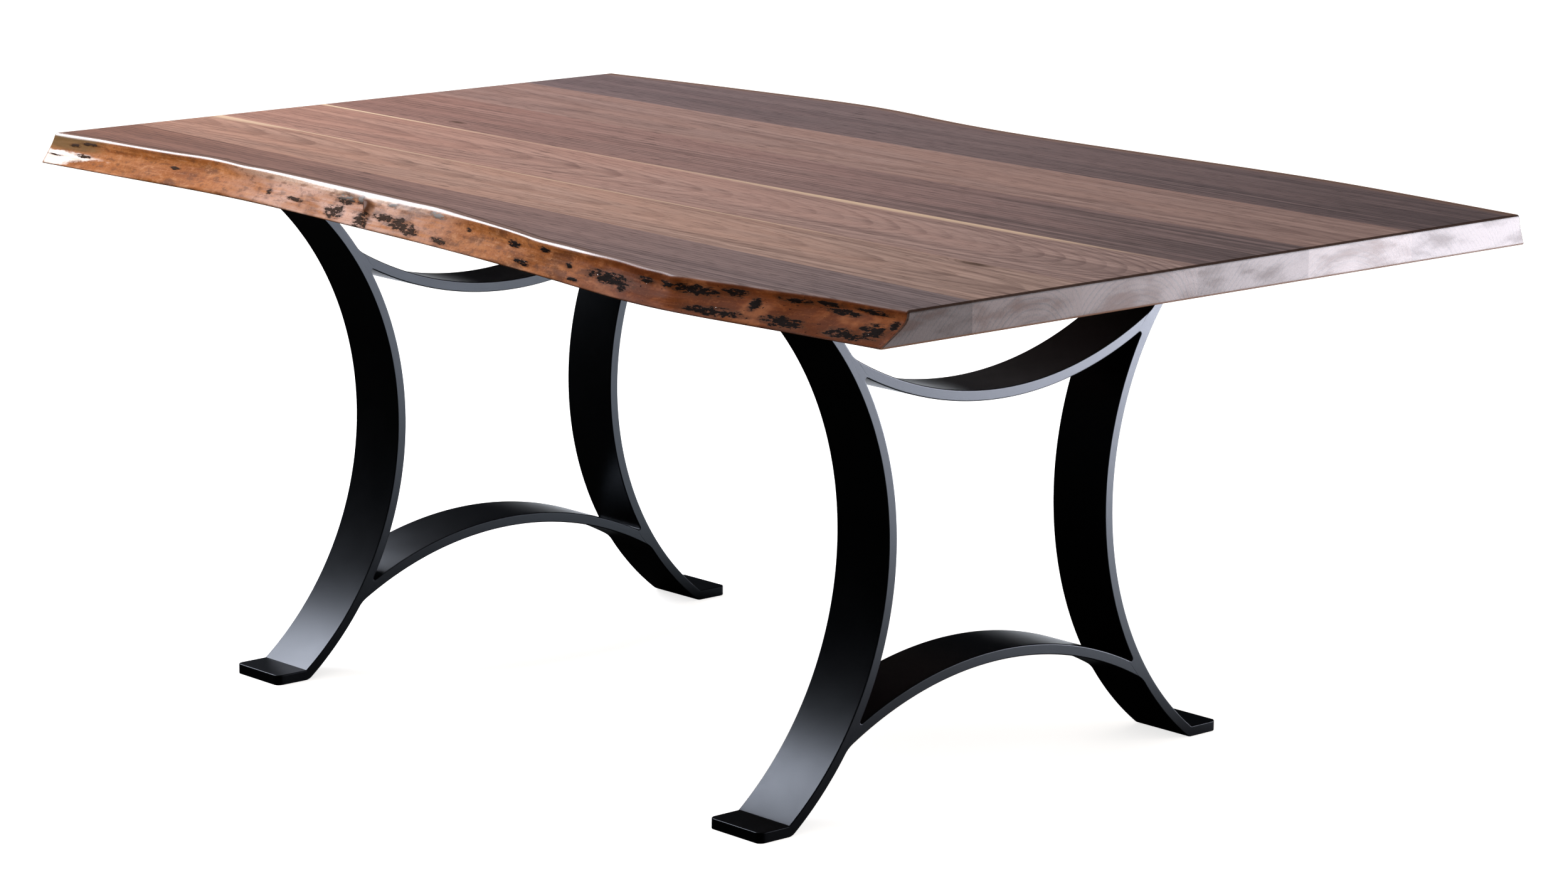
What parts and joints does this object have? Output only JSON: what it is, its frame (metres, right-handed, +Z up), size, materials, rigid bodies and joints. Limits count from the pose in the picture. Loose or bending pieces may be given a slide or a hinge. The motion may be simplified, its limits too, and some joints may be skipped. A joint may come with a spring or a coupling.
{
  "type": "live edge dining table",
  "caption": "Rectangular dining table with a glued walnut top, wavy live edges along both long sides, on two trestles of bowed black flat bar.",
  "frame": {"origin": "on the floor under the middle of the table's bounding box", "axes": "+X along the table, +Y from the front live edge to the back one, +Z up"},
  "size_m": [1.829, 1.2543, 0.762],
  "materials": {
    "dark_walnut": "satin lacquered dark brown walnut",
    "red_walnut": "satin lacquered reddish brown walnut",
    "brown_walnut": "satin lacquered mid brown walnut",
    "black_powder_coat": "satin black powder coat with a fine texture",
    "zinc_steel": "bright zinc plate"
  },
  "bodies": {
    "root": {"front_live_edge_board": "dark_walnut", "second_board": "red_walnut", "third_board": "red_walnut", "fourth_board": "brown_walnut", "fifth_board": "brown_walnut", "back_live_edge_board": "dark_walnut", "left_front_leg": "black_powder_coat", "left_back_leg": "black_powder_coat", "left_upper_rail": "black_powder_coat", "left_lower_rail": "black_powder_coat", "left_upper_rail_welds": "black_powder_coat", "left_lower_rail_welds": "black_powder_coat", "left_top_screws": "zinc_steel", "left_washers": "zinc_steel", "right_front_leg": "black_powder_coat", "right_back_leg": "black_powder_coat", "right_upper_rail": "black_powder_coat", "right_lower_rail": "black_powder_coat", "right_upper_rail_welds": "black_powder_coat", "right_lower_rail_welds": "black_powder_coat", "right_top_screws": "zinc_steel", "right_washers": "zinc_steel"}
  },
  "joints": []
}
